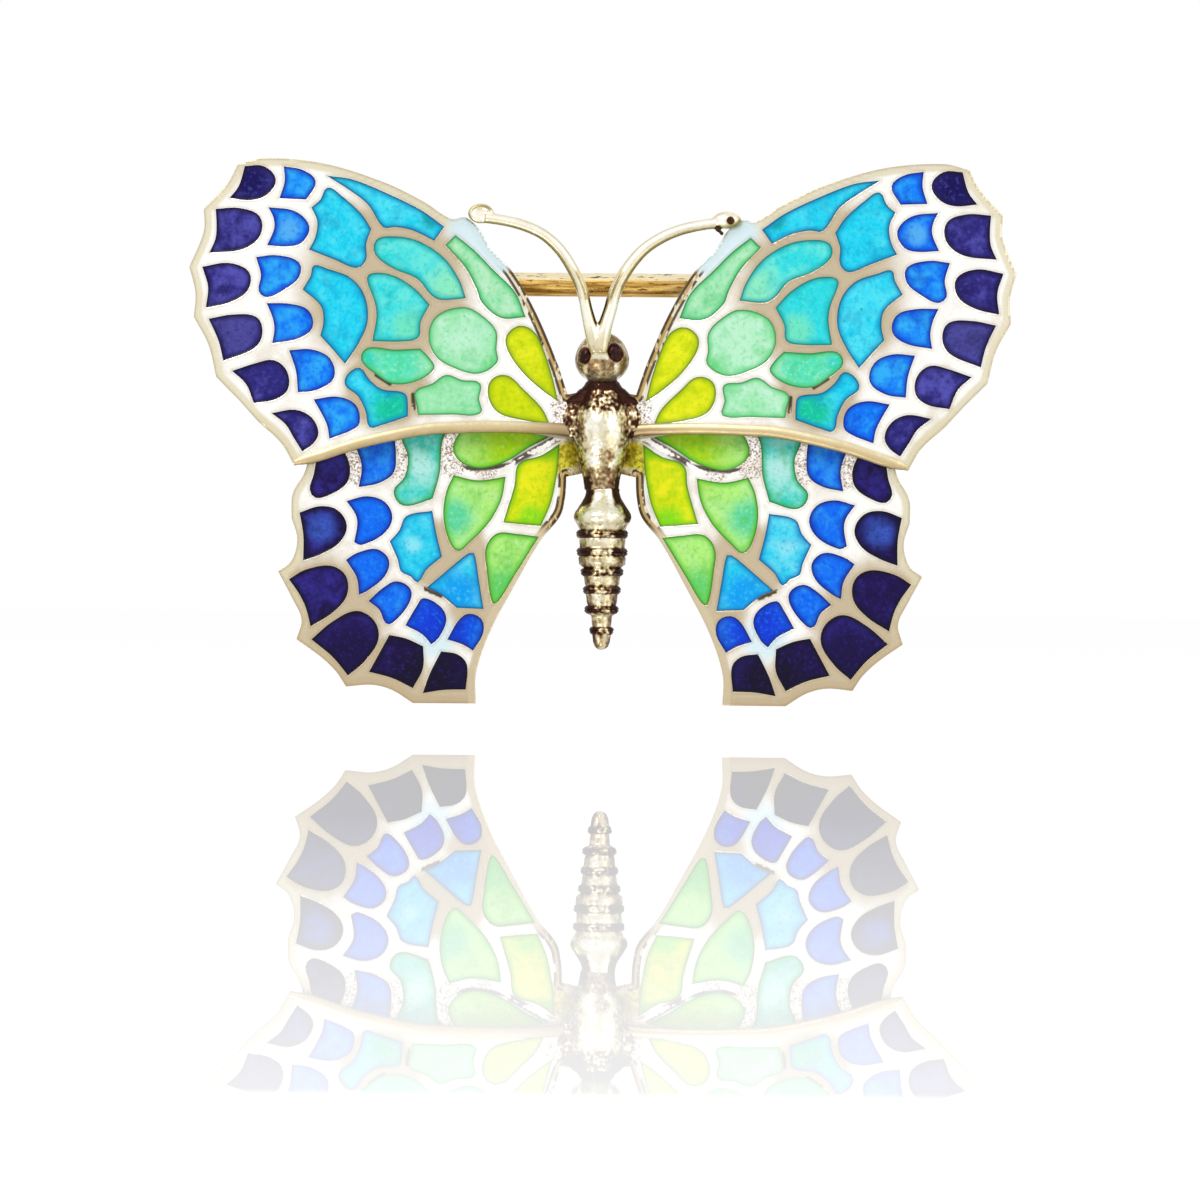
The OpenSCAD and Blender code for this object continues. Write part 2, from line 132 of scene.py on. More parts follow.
class Finish(Nodes):
    """One material, its places in mm; its colour is built up layer by layer."""

    def __init__(self, name):
        super().__init__(bpy.data.materials.new(name))
        self.colour = None
        self.where = self.node("TexCoord", out="Object")
        split = self.node("SeparateXYZ", sockets={0: self.where}).socket.node
        self.x, self.y, self.z = (Value(self, s) * (1 / MM) for s in split.outputs)

    def mix(self, factor, a, b):
        """Colour a at factor 0 and b at 1; a plain colour is three numbers of 0 to 255."""
        a, b = (c if isinstance(c, Value) else paint(*c) for c in (a, b))
        return self.node("Mix", {"data_type": "RGBA"}, {0: factor, 6: a, 7: b}, out=2)

    def lay(self, share, shade):
        """Lays a shade over the finish's colour."""
        self.colour = self.mix(share, self.colour, shade)

    def step(self, value, low, high):
        """0 below low, 1 above high, with a smooth rise between."""
        return self.node("MapRange", {"interpolation_type": "SMOOTHSTEP"},
                         {0: value, 1: low, 2: high})

    def above(self, low, high):
        """0 below a height over the wing line, 1 above another, both in mm."""
        return self.step(self.z, low - WING_LINE, high - WING_LINE)

    def spot(self, size, stretch, shift):
        """The place in units of size mm, drawn out by stretch and moved by shift."""
        scale = tuple(1 / (size * MM * s) for s in stretch)
        return self.node("Mapping", sockets={0: self.where, 1: (shift,) * 3, 3: scale})

    def cloud(self, size, stretch=(1, 1, 1), detail=3.0, rough=0.55, shift=0.0):
        """Noise from 0 to 1 with features of about size mm."""
        return self.node("TexNoise", sockets={
            "Vector": self.spot(size, stretch, shift), "Scale": 1.0, "Detail": detail,
            "Roughness": rough})

    def grains(self, size, shift):
        """Distance to the nearest of scattered grains that are size mm apart."""
        return self.node("TexVoronoi", sockets={
            "Vector": self.spot(size, (1, 1, 1), shift), "Scale": 1.0})

    def near(self, x, z, radius):
        """1 at a place on either wing, falling to 0 at radius mm from it."""
        side = abs(self.x) - x
        up = self.z - (z - WING_LINE)
        return 1 - self.step((side * side + up * up) ** 0.5, 0, radius)

    def stroke(self, a, b, width):
        """1 along the line between two places on either wing, 0 at width mm from it."""
        (ax, az), (bx, bz) = a, b
        long = math.hypot(bx - ax, bz - az)
        ux, uz = (bx - ax) / long, (bz - az) / long
        side = abs(self.x) - ax
        up = self.z - (az - WING_LINE)
        along = side * ux + up * uz
        past = along - along.math("MAXIMUM", 0).math("MINIMUM", long)
        across = side * uz - up * ux
        return 1 - self.step((past * past + across * across) ** 0.5, width * 0.3, width)

    def read(self, name):
        return self.node("Attribute", {"attribute_name": name}, out="Fac")

    def bump(self, height, strength, distance):
        return self.node("Bump", sockets={"Height": height, "Strength": strength,
                                          "Distance": distance * MM})

    def surface(self, **sockets):
        """The finished material; the arguments are the shader's other sockets."""
        names = {key.replace("_", " ").title().replace("Ior", "IOR"): value
                 for key, value in sockets.items()}
        shader = self.node("BsdfPrincipled", sockets={"Base Color": self.colour, **names})
        self.node("OutputMaterial", sockets={0: shader})
        return self.owner


def silver_finish():
    """Polished silver under a thin warm varnish, with tarnish in patches."""
    f = Finish("Silver_fitting")
    smear = f.cloud(1.6, (1, 1, 0.7), detail=4)
    pale = f.mix(f.step(smear, 0.3, 0.7), (247, 240, 228), (222, 207, 182))
    fine = f.cloud(0.16, (1, 1, 2.2), detail=4, shift=3)
    f.colour = f.mix(f.step(fine, 0.62, 0.8) * 0.5, pale, (170, 148, 118))
    tarnish = f.step(f.cloud(0.5, detail=5, shift=7), 0.57, 0.71)
    f.lay(tarnish * 0.7, (104, 78, 52))
    scratches = f.cloud(0.09, (6, 6, 0.6), detail=2, shift=5)
    return f.surface(
        metallic=0.9, roughness=0.2 + smear * 0.14 + tarnish * 0.2,
        normal=f.bump(scratches + smear * 2, 0.35, 0.012))


def wing_silver(name, painted_highlight_at, painted_shade_at, dirt_and_shade_at, glare_at, painted_reflection_at=(), grain_at=(),
                lower_shade=0):
    """The wings' silver: pale or tan wall tops with dark sides, and a brushed back.

    Places are [x, z, radius] and strokes of dirt and painted shadow are [start, end, width],
    all in mm; lower_shade says how much shade is painted along the lower edge.
    """
    f = Finish(name)
    smear = f.cloud(1.6, detail=4)
    fine = f.cloud(0.2, detail=4, shift=3)
    edge = f.read("edge")
    wall = f.read("wall")
    rim = f.read("rim")
    back = f.read("back")
    # the wall tops: pale, kept pale where a highlight is painted, tan where tarnish or painted
    # shade lies, with gold and grainy places
    tan = f.step(smear, 0.45, 0.66) * 0.4
    for x, z, radius in painted_shade_at:
        tan = tan.math("MAXIMUM", f.step(f.near(x, z, radius) + (smear - 0.5) * 0.4, 0.1, 0.5))
    for x, z, radius in painted_highlight_at:
        tan = tan * (1 - f.near(x, z, radius))
    f.colour = f.mix(tan, (252, 250, 245), (198, 182, 152))
    f.lay(f.step(fine, 0.55, 0.8) * 0.2, (206, 194, 168))
    # gold: a painted reflection of the yellow enamel on the walls by the hind wing's root
    reflected_yellow = f.mix(f.step(fine, 0.35, 0.65), (146, 130, 12), (212, 202, 62))
    for x, z, radius in painted_reflection_at:
        f.lay(f.step(f.near(x, z, radius), 0.1, 0.5), reflected_yellow)
    grain = f.cloud(0.1, detail=3, shift=11)
    for x, z, radius in grain_at:
        near = f.step(f.near(x, z, radius) + (fine - 0.5) * 0.5, 0.2, 0.5)
        f.lay(near * f.step(grain, 0.46, 0.58) * 0.7, (160, 134, 112))
        f.lay(near * f.step(grain, 0.6, 0.68) * 0.8, (80, 50, 38))
    # the border: painted shade, tan along the wing's lower edge and warm along its outer one,
    # darker low down and in a thin line right at the edge
    lower = (1 - f.step(edge, 0.2, 0.6)) * (1 - f.above(0.4, 0.9))
    f.lay(lower * lower_shade, (214, 198, 160))
    outer = 1 - f.step(edge + (fine - 0.5) * 0.08, 0.28, 0.5)
    band = f.mix(f.above(-13.6, -6), (192, 172, 138), (221, 212, 180))
    f.lay(outer * 0.85, band)
    f.lay((1 - f.step(edge, 0.03, 0.09)) * 0.4, (176, 158, 124))
    for x, z, radius in glare_at:
        share = f.step(f.near(x, z, radius), 0, 0.7)
        f.lay(share * 0.8, (206, 231, 239))
    # painted shade on the sides of the walls, by depth below their tops, and a little along
    # every edge
    fall = f.read("fall") * f.step(rim, 0.06, 0.16)
    f.lay(f.step(fall, 0, 0.7) * 0.9, (112, 88, 60))
    f.lay((1 - f.step(wall, 0, 0.1)) * 0.25, (150, 126, 92))
    # the edge that faces the body: gold between two dark lines, and bare tan low down
    bare = 1 - f.above(-5.4, -4.6)
    f.lay(bare * (1 - f.step(rim, 0.3, 0.42)) * 0.8, (206, 190, 158))
    lined = (1 - f.above(7.8, 8.3)) * (1 - bare)
    dash = f.cloud(0.3, (1, 1, 2.2), detail=3, shift=9)
    extra = (1 - f.above(4.5, 7)) * 0.2
    gilt = (1 - f.step(abs(rim - 0.18), 0.06, 0.14)) * f.step(dash + extra, 0.5, 0.6)
    f.lay(gilt * lined * 0.85, (178, 142, 66))
    first = (1 - f.step(abs(rim - 0.07), 0.04, 0.1)) * f.step(dash, 0.36, 0.42)
    second = (1 - f.step(abs(rim - 0.33), 0.04, 0.1)) * (1 - f.step(dash, 0.5, 0.56))
    # dirt and painted shadow: dark lines along the edge that faces the body, and strokes
    # caught along the walls, those by the body and under the fore wing being painted shadow
    dirt_and_shade = first.math("MAXIMUM", second) * lined
    caught = 1 - f.step(wall + (fine - 0.5) * 0.25, 0.08, 0.13)
    for start, end, width in dirt_and_shade_at:
        dirt_and_shade = dirt_and_shade.math("MAXIMUM", f.stroke(start, end, width) * caught)
    dirt_and_shade = dirt_and_shade * (1 - back)
    f.lay(dirt_and_shade * 0.92, (48, 26, 10))
    # the back: brushed across, with a little tarnish
    brushed = f.cloud(0.07, (14, 1, 1), detail=3, shift=6)
    behind = f.mix(f.step(brushed, 0.3, 0.7), (236, 230, 216), (206, 198, 178))
    behind = f.mix(f.step(smear, 0.55, 0.75) * 0.5, behind, (168, 148, 112))
    behind = f.mix((1 - f.step(edge, 0.1, 0.7)) * 0.35, behind, (150, 130, 98))
    f.lay(back, behind)
    worn = f.cloud(0.12, (5, 5, 0.8), detail=2) + smear * 2
    return f.surface(
        metallic=0.85, roughness=0.2 + smear * 0.12 + dirt_and_shade * 0.3 + back * 0.1,
        normal=f.bump(worn + back * brushed, 0.25, 0.01))


def enamel_finish(name, body, rim, light, tones):
    """Fired enamel: cloudy and speckled, deeper in colour along the cell walls, with a thin
    painted shadow right against them.
    """
    f = Finish(name)
    edge = f.read("edge")
    tone = f.read("tone")
    cloud = f.cloud(0.8, detail=5, rough=0.6)
    fine = f.cloud(0.2, detail=3, rough=0.6, shift=4)
    pool = f.cloud(1.1, detail=2, shift=8)
    deep = tuple(c * 0.55 for c in rim)
    f.colour = f.mix(f.step(cloud + tone * 0.2, 0.4, 0.72), body, light)
    for shade, (x, z), radius in tones:
        share = f.step(f.near(x, z, radius) + (cloud - 0.5) * 0.5, 0, 0.9)
        f.lay(share, shade)
    inside = f.step(edge + (fine - 0.5) * 0.35 + (cloud - 0.5) * 0.4, 0, 0.8)
    f.lay((1 - inside) * 0.9, rim)
    f.lay(f.step(pool, 0.5, 0.7) * 0.4, rim)
    f.lay(f.step(fine, 0.5, 0.7) * 0.4, rim)
    f.lay((1 - f.step(fine, 0.3, 0.48)) * 0.4 * inside, light)
    speck = 1 - f.step(f.grains(1.4, shift=2), 0.02, 0.06)
    f.lay(speck * f.step(cloud, 0.45, 0.6) * 0.6, deep)
    # painted shadow: a thin dark line right against the walls
    f.lay((1 - f.step(edge, 0, 0.28)) * 0.8, deep)
    return f.surface(
        metallic=0.0, roughness=0.14 + fine * 0.1,
        specular_ior_level=0.12, coat_weight=0.06, coat_roughness=0.05,
        normal=f.bump(cloud * 3 + fine * 0.5, 0.25, 0.02))


def cast_finish():
    """Cast metal left dark in its hollows and rubbed bright on its heights, with painted shade
    on its form.
    """
    f = Finish("Cast_silver")
    patina_and_shade = f.read("patina_and_shade")
    grit = f.cloud(0.16, detail=5, rough=0.65)
    wide = f.cloud(0.6, (1, 1, 1.6), detail=3, shift=6)
    grey = patina_and_shade + (grit - 0.5) * 0.5 + (wide - 0.5) * 0.5
    f.colour = f.mix(f.step(wide, 0.35, 0.6), (246, 243, 232), (226, 218, 190))
    f.lay(f.step(grey, 0.08, 0.28), (212, 200, 162))
    f.lay(f.step(grey, 0.28, 0.42), (168, 148, 108))
    f.lay(f.step(grey, 0.4, 0.54), (122, 92, 66))
    f.lay(f.step(grey, 0.52, 0.7), (50, 22, 14))
    return f.surface(
        metallic=0.85, roughness=0.2 + f.step(grey, 0.3, 0.7) * 0.3,
        normal=f.bump(grit, 0.25, 0.03))


def gilt_finish():
    """Drawn gilt wire, streaked along its length, with a painted highlight along its upper
    side.
    """
    f = Finish("Gilt_wire")
    streak = f.cloud(0.12, (18, 1, 1), detail=4)
    dash = f.cloud(0.1, (7, 1, 1), detail=2, shift=8)
    worn = f.cloud(2.2, (2, 1, 1), detail=3, shift=5)
    lit = f.step(f.read("up") + (streak - 0.5) * 0.5, 0.25, 0.5)
    f.colour = f.mix(f.step(streak, 0.35, 0.65), (226, 186, 104), (160, 112, 36))
    f.lay(lit, (240, 226, 186))
    f.lay(f.step(worn, 0.6, 0.75) * 0.4, (238, 222, 186))
    f.lay(f.step(dash, 0.6, 0.66) * 0.9, (84, 48, 16))
    return f.surface(
        metallic=0.9, roughness=0.2 + streak * 0.15, normal=f.bump(streak, 0.4, 0.02))


def eye_finish():
    """Nearly black red glass."""
    f = Finish("Eye_glass")
    glow = f.cloud(0.25, detail=3)
    f.colour = f.mix(f.step(glow, 0.45, 0.7), (30, 6, 8), (104, 30, 20))
    return f.surface(
        metallic=0.0, roughness=0.14 + glow * 0.1,
        specular_ior_level=0.12, coat_weight=0.05, coat_roughness=0.03,
        normal=f.bump(glow, 0.3, 0.02))


# ---------- mesh work

def placed(name, data):
    """A new object in the scene."""
    made = bpy.data.objects.new(name, data)
    bpy.context.scene.collection.objects.link(made)
    return made


def merged(node):
    """A CAD node's mesh as a bmesh, with its doubles merged."""
    mesh = bmesh.new()
    mesh.from_mesh(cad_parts[node].data)
    bmesh.ops.remove_doubles(mesh, verts=mesh.verts, dist=TOUCH)
    return mesh


def copied(node):
    """A CAD node's mesh with its doubles merged and its flat areas joined."""
    mesh = merged(node)
    bmesh.ops.dissolve_limit(
        mesh, angle_limit=math.radians(1), use_dissolve_boundaries=False,
        verts=mesh.verts, edges=mesh.edges, delimit=set())
    return mesh


def eased(points, step):
    """The points joined by a smooth curve, with points about step apart."""
    out = []
    last = len(points) - 1
    for i in range(last):
        p0, p1, p2, p3 = (Vector(points[max(0, min(last, j))])
                          for j in (i - 1, i, i + 1, i + 2))
        count = max(1, round((p2 - p1).length / step))
        for k in range(count):
            t = k / count
            q = 0.5 * (2 * p1 + (p2 - p0) * t + (2 * p0 - 5 * p1 + 4 * p2 - p3) * t * t
                       + (3 * p1 - p0 - 3 * p2 + p3) * t ** 3)
            out.append((q.x, q.y))
    return out + [tuple(points[-1])]


def tree_of(points):
    """A tree that finds the nearest of some points."""
    tree = kdtree.KDTree(len(points))
    for i, p in enumerate(points):
        tree.insert(p, i)
    tree.balance()
    return tree


def drawn_out(mesh, edges):
    """Extrudes open edges; gives the new points and the new open edges."""
    made = bmesh.ops.extrude_edge_only(mesh, edges=edges)["geom"]
    points = [g for g in made if isinstance(g, bmesh.types.BMVert)]
    new = set(points)
    return points, [g for g in made if isinstance(g, bmesh.types.BMEdge)
                    and all(v in new for v in g.verts)]


def swept(mesh, path, sides=20):
    """Sweeps an oval along [point, half width, half depth] rows; depth is along Y."""
    ring = bmesh.ops.create_circle(mesh, cap_ends=True, segments=sides, radius=1.0)["verts"]
    rim = list({e for v in ring for e in v.link_edges})
    last = Matrix.Identity(4)
    for i, (point, wide, deep) in enumerate(path):
        ahead = path[min(i + 1, len(path) - 1)][0] - path[max(i - 1, 0)][0]
        ahead.y = 0
        ahead.normalize()
        across = Vector((0, 1, 0)).cross(ahead) * wide
        here = Matrix((across, Vector((0, deep, 0)), ahead)).transposed().to_4x4()
        here.translation = point
        if i:
            ring, rim = drawn_out(mesh, rim)
        bmesh.ops.transform(mesh, matrix=here @ last.inverted(), verts=ring)
        last = here
    bmesh.ops.contextual_create(mesh, geom=rim)


def soften(mesh, edges, width, segments=2):
    """Rounds edges over a width in mm."""
    if edges:
        bmesh.ops.bevel(mesh, geom=edges, offset=width * MM, offset_type="OFFSET",
                        segments=segments, profile=0.5, affect="EDGES",
                        clamp_overlap=True, material=-1)


def finished(mesh, name, material, nodes=(), body="brooch", sharp=40.0):
    """Makes a bmesh a piece that rides on a body and may stand for CAD nodes."""
    data = bpy.data.meshes.new(name)
    mesh.to_mesh(data)
    mesh.free()
    data.materials.append(material)
    data.polygons.foreach_set("use_smooth", [True] * len(data.polygons))
    data.set_sharp_from_angle(angle=math.radians(sharp))
    piece = placed(name, data)
    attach(piece, body)
    if nodes:
        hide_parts(*nodes)


def depth_of(vert, front):
    """How far a vertex lies behind the front face of its wing, in mm."""
    return vert.co.y / MM + FRONT - bent(vert.co.x / MM, front)


# ---------- enamel

FACING = 0.7  # a face whose normal's y is past this looks forwards or back
GRID = 0.1  # spacing of the points over the enamel
RIM_REACH = 0.45  # width of the deeper colour along the walls
ENAMEL_DROP = 0.05  # depth of the enamel below the wall tops
ENAMEL_T = 0.4  # thickness of the enamel
CLIMB = 0.03  # how far the enamel climbs the walls
CLIMB_W = 0.16  # width of that climb
SWELL = 0.012  # height of the swells on the enamel
SWELL_W = 1.2  # size of the swells
SWELL_IN = 0.3  # the swells fade out this near to the walls
WALL_STEP = 0.02  # spacing of the points along the walls


def cell_faces(node):
    """One bmesh with a single face for the front of each cell of a node."""
    mesh = merged(node)
    bmesh.ops.delete(mesh, geom=[f for f in mesh.faces if f.normal.y > -FACING],
                     context="FACES")
    bmesh.ops.dissolve_faces(mesh, faces=mesh.faces, use_verts=False)
    return mesh


def cut_grid(mesh, axis, spacing, faces):
    """Cuts the given faces along upright or level lines."""
    places = [v.co[axis] for f in faces for v in f.verts]
    line = math.ceil(min(places) / spacing)
    across = Vector((0, 0, 0))
    across[axis] = 1
    parts = list({v for f in faces for v in f.verts} | {e for f in faces for e in f.edges})
    parts += faces
    while line * spacing < max(places):
        cut = bmesh.ops.bisect_plane(mesh, geom=parts, dist=1e-7, plane_no=across,
                                     plane_co=across * line * spacing)
        parts = cut["geom"]
        line += 1


def wall_points(face):
    """A tree of points set closely along a face's outline."""
    points = []
    corners = [v.co for v in face.verts]
    for a, b in zip(corners, corners[1:] + corners[:1]):
        steps = max(1, math.ceil((b - a).length / (WALL_STEP * MM)))
        points += [a.lerp(b, i / steps) for i in range(steps)]
    return tree_of([(p.x, 0, p.z) for p in points])


def enamel_piece(node, finish, slot):
    """The enamel of one node: in each cell a thin cushion that climbs the walls."""
    front = LAYERS[node[:4]]
    rnd = random.Random(node)
    whole = bmesh.new()
    edge = whole.verts.layers.float.new("edge")
    tone = whole.verts.layers.float.new("tone")
    cells = cell_faces(node)
    for face in cells.faces:
        walls = wall_points(face)
        cell = bmesh.new()
        cell.faces.new([cell.verts.new(v.co) for v in face.verts])
        for axis in (0, 2):
            cut_grid(cell, axis, GRID * MM, cell.faces[:])
        cell_tone = rnd.uniform(-0.5, 0.5)
        made = {}
        for v in cell.verts:
            away = walls.find((v.co.x, 0, v.co.z))[2] / MM
            climb = max(0, 1 - away / CLIMB_W)
            swell = noise.noise(v.co / (SWELL_W * MM)) * SWELL * min(1, away / SWELL_IN)
            depth = ENAMEL_DROP - CLIMB * climb * climb + swell
            y = bent(v.co.x / MM, front + depth) - FRONT
            new = whole.verts.new((v.co.x, y * MM, v.co.z))
            new[edge] = min(1, away / RIM_REACH)
            new[tone] = cell_tone
            made[v] = new
        sheet = [whole.faces.new([made[v] for v in f.verts]) for f in cell.faces]
        rim = [e for e in {e for f in sheet for e in f.edges} if len(e.link_faces) == 1]
        low, rim = drawn_out(whole, rim)
        bmesh.ops.translate(whole, verts=low, vec=(0, ENAMEL_T * MM, 0))
        bmesh.ops.contextual_create(whole, geom=rim)
        cell.free()
    cells.free()
    bmesh.ops.recalc_face_normals(whole, faces=whole.faces)
    finished(whole, node + "_fired", finish, [node], sharp=50)


# Colour of each enamel: body, rim along the walls, lighter clouds, and tones laid
# in at a place [x, z] over a radius
ENAMELS = {
    "fore_yellow": ((206, 222, 0), (150, 186, 0), (234, 236, 30), []),
    "fore_mint": ((154, 228, 174), (92, 204, 120), (190, 238, 208), [
        ((186, 238, 204), (6.8, 4.4), 1.6), ((116, 214, 136), (5.4, 3.1), 1.2)]),
    "fore_green": ((158, 228, 178), (62, 192, 106), (196, 236, 200), [
        ((86, 222, 180), (10.2, 3.2), 2.4), ((40, 214, 200), (11.9, 3.4), 1.2)]),
    "fore_turquoise": ((40, 214, 222), (14, 172, 172), (100, 228, 218), [
        ((140, 232, 190), (7.4, 7), 2.4), ((110, 226, 190), (9.6, 5), 1.6)]),
    "fore_cyan": ((22, 206, 236), (0, 140, 192), (74, 222, 242), [
        ((10, 160, 160), (8.6, 10.5), 0.9), ((10, 196, 150), (10.4, 1), 2)]),
    "fore_blue": ((0, 118, 242), (0, 56, 196), (44, 172, 244), [
        ((80, 170, 238), (15.7, 9.9), 1)]),
    "fore_navy": ((40, 34, 118), (14, 0, 60), (82, 80, 176), [
        ((12, 4, 84), (17.6, 12.3), 1.8), ((70, 68, 146), (18.4, 5), 2.4)]),
    "hind_yellow": ((204, 224, 0), (124, 196, 0), (238, 236, 24), [
        ((136, 222, 24), (3.4, -4.6), 1.5), ((136, 206, 0), (2.5, -0.9), 0.9)]),
    "hind_green": ((174, 236, 122), (84, 190, 40), (188, 238, 158), [
        ((168, 214, 0), (4.2, -0.8), 4), ((92, 212, 160), (7.4, -4.4), 1.8),
        ((100, 206, 110), (4.9, -8), 2)]),
    "hind_turquoise": ((50, 206, 196), (50, 172, 96), (140, 226, 214), [
        ((176, 232, 226), (9, -1.9), 1.2)]),
    "hind_cyan": ((36, 206, 236), (0, 134, 204), (104, 220, 240), [
        ((134, 226, 240), (9.4, -5.8), 0.7), ((0, 160, 240), (7.2, -8.2), 2)]),
    "hind_blue": ((0, 106, 240), (2, 46, 172), (44, 152, 246), [
        ((4, 58, 214), (7.9, -9.9), 3.2)]),
    "hind_navy": ((22, 0, 70), (8, 0, 34), (46, 36, 134), [
        ((54, 84, 186), (14, -5), 1.3), ((20, 2, 66), (12.4, -11.2), 2.8),
        ((12, 0, 34), (8.6, -12.6), 3.6)]),
}

for name, (body, rim, light, tones) in ENAMELS.items():
    wing, colour = name.split("_")
    finish = enamel_finish("Enamel_" + name, body, rim, light, tones)
    for side in SIDES:
        enamel_piece(f"{wing}_{side}_{colour}", finish, "enamel_" + colour)


# ---------- wing frames

WALL_ROUND = 0.08  # rounding of the walls' top edges
FRAME_GRID = 0.15  # spacing of the points over the wall tops
RIM_ROUND = 0.2  # rounding of the fore wings' lower rim
FALL = 0.08  # depth below a wall's top at which the shade painted on its side is full
TOP_D = 0.1  # the wall tops lie less deep than this
BACK_D = 0.6  # what lies deeper than this belongs to the back
OUTER_D = 0.7  # the wing's own sides reach deeper than this
CORNER = 0.6  # an edge that turns by more than this is rounded, radians
LINE_STEP = 0.04  # spacing of the points along the edges

# The edge of each wing that faces the body, as [x, z]
INNER_EDGE = {
    "fore": [(1.72, 1.8), (2.3, 3.5), (3.4, 6), (4.6, 8), (5.6, 9), (6.2, 10), (6.9, 10.6)],
    "hind": [(1.75, -2.3), (1.8, -3.3), (2.05, -4.3), (3, -5.5), (4.2, -7.6), (5.5, -10.1),
             (6.2, -12.2), (6.2, -13.75)],
}


def frame_piece(node, finish):
    """A wing's silver with rounded walls, its points marked for the finish."""
    wing = node[:4]
    front = LAYERS[wing]
    mesh = copied(node)
    tops = {f for f in mesh.faces if f.normal.y < -FACING
            and depth_of(f.verts[0], front) < TOP_D}
    backs = {f for f in mesh.faces if f.normal.y > FACING}
    rim, walls, outer, every = [], [], [], []
    for e in mesh.edges:
        if len(e.link_faces) != 2 or e.calc_face_angle(0) < CORNER:
            continue
        beside = [f for f in e.link_faces if f not in tops]
        if len(beside) == 1:
            # the fore wings' lower rim is rounded more than the walls are
            height = (e.verts[0].co.z + e.verts[1].co.z) / 2 / MM + WING_LINE
            lower = wing == "fore" and beside[0].normal.z < -0.5 and height < 0.2
            deep = max(depth_of(v, front) for v in beside[0].verts) > OUTER_D
            a, b = (Vector((v.co.x, 0, v.co.z)) for v in e.verts)
            count = max(1, round(e.calc_length() / (LINE_STEP * MM)))
            line = [a.lerp(b, i / count) for i in range(count)]
            every += line
            if deep:
                outer += line
            if lower and deep:
                rim.append(e)
            else:
                walls.append(e)
        elif any(f in backs for f in e.link_faces):
            walls.append(e)
    soften(mesh, walls, WALL_ROUND)
    soften(mesh, [e for e in rim if e.is_valid], RIM_ROUND, 4)
    mesh.normal_update()
    for axis in (0, 2):
        flat = [f for f in mesh.faces if f.normal.y < -0.9]
        cut_grid(mesh, axis, FRAME_GRID * MM, flat)
    mesh.normal_update()
    fall, rim_of, edge_of, wall_of, back_of = (
        mesh.verts.layers.float.new(name) for name in ("fall", "rim", "edge", "wall", "back"))
    outer, every = tree_of(outer), tree_of(every)
    inner = tree_of([(x * MM, 0, (z - WING_LINE) * MM)
                     for x, z in eased(INNER_EDGE[wing], 0.03)])
    for v in mesh.verts:
        depth = depth_of(v, front)
        flat = (v.co.x, 0, v.co.z)
        v[fall] = 0.3 if depth > BACK_D else min(1, max(0, depth / FALL))
        v[rim_of] = min(1, inner.find((abs(v.co.x), 0, v.co.z))[2] / MM)
        v[edge_of] = min(1, outer.find(flat)[2] / MM)
        v[wall_of] = max(0, min(1, every.find(flat)[2] / MM - WALL_ROUND))
        v[back_of] = 1.0 if depth > BACK_D and v.normal.y > 0.2 else 0.0
    finished(mesh, node + "_polished", finish, [node], sharp=50)


fore_silver = wing_silver(
    "Silver_fore_wing",
    painted_highlight_at=[(17.5, 8.5, 4.5), (5.5, 3.6, 3), (14.5, 1.5, 2)],
    painted_shade_at=[(11, 7.2, 6.8), (10.8, 2, 3.4)],
    dirt_and_shade_at=[((1, 1.8), (1.75, 1.1), 0.7), ((1.2, -0.2), (3.4, 0.1), 0.4),
             ((10.6, 2.2), (11.3, 2.65), 0.14), ((9.4, 1), (9.45, 1.7), 0.16)],
    glare_at=[(6.9, 10, 1.4), (5.9, 9, 1.3), (5.1, 8.3, 0.8)],
    grain_at=[(2.05, 1.2, 0.9), (2, 0.35, 0.9)], lower_shade=0.75)
hind_silver = wing_silver(
    "Silver_hind_wing",
    painted_highlight_at=[(13.3, -3.2, 3.2), (10.4, -4.6, 2), (8.3, -10.4, 1.6)],
    painted_shade_at=[(14.2, -9.8, 5.5), (7.5, -6.5, 3.2), (5, -9, 4), (11, -12.8, 4),
            (7.4, -13.3, 2.4)],
    dirt_and_shade_at=[((2.2, -0.35), (4.3, -1.55), 0.3), ((4.6, -1.8), (7.2, -2), 0.26),
             ((8, -8.35), (9, -7.95), 0.18)],
    grain_at=[(7.6, -0.5, 1.3), (7.5, -1.6, 1.3), (10.1, -0.8, 1.3), (10.1, -1.9, 1.2),
              (12.3, -1, 1.2), (12.3, -2.1, 1.2), (5.8, -1.9, 1)],
    glare_at=[(8.3, -10.4, 1.8)],
    painted_reflection_at=[(1.5, -1.4, 1.5), (1.65, -2, 1)])
for side in SIDES:
    frame_piece(f"fore_frame_{side}", fore_silver)
    frame_piece(f"hind_frame_{side}", hind_silver)


# Lower edge of a fore wing as [x, z], and the size of the bead soldered along it
LOWER_EDGE = [(1, -0.2), (2, -0.06), (3, -0.02), (5, 0.02), (7, -0.04), (9, -0.18),
              (12, -0.83), (14, -1.48), (15.3, -1.86)]
BEAD_H = 0.3  # half height of the bead
BEAD_UP = 0.12  # height of its middle over the wing's lower edge
BEAD_D = 0.17  # half its depth
BEAD_IN = 0.03  # its middle lies this far behind the wing's front
BEAD_STEP = 0.5  # spacing of the points along it
BEAD_END = 0.45  # share of its size at the wing's tip
BEAD_GROWTH = 8  # how many sizes it would grow over its whole length


def bead_piece(side_name, finish):
    """The round bead soldered along the lower edge of a fore wing."""
    side = 1 if side_name == "right" else -1
    mesh = bmesh.new()
    points = eased(LOWER_EDGE, BEAD_STEP)
    path = []
    for i, (x, z) in enumerate(points):
        size = min(1, BEAD_END + BEAD_GROWTH * (1 - i / (len(points) - 1))) * MM
        path.append((place(x * side, z + BEAD_UP, bent(x, BEAD_IN)),
                     BEAD_H * size, BEAD_D * size))
    swept(mesh, path)
    bmesh.ops.recalc_face_normals(mesh, faces=mesh.faces)
    down = mesh.verts.layers.float.new("down")
    mesh.normal_update()
    for v in mesh.verts:
        v[down] = 0.5 - 0.5 * v.normal.z
    finished(mesh, f"fore_bead_{side_name}", finish)


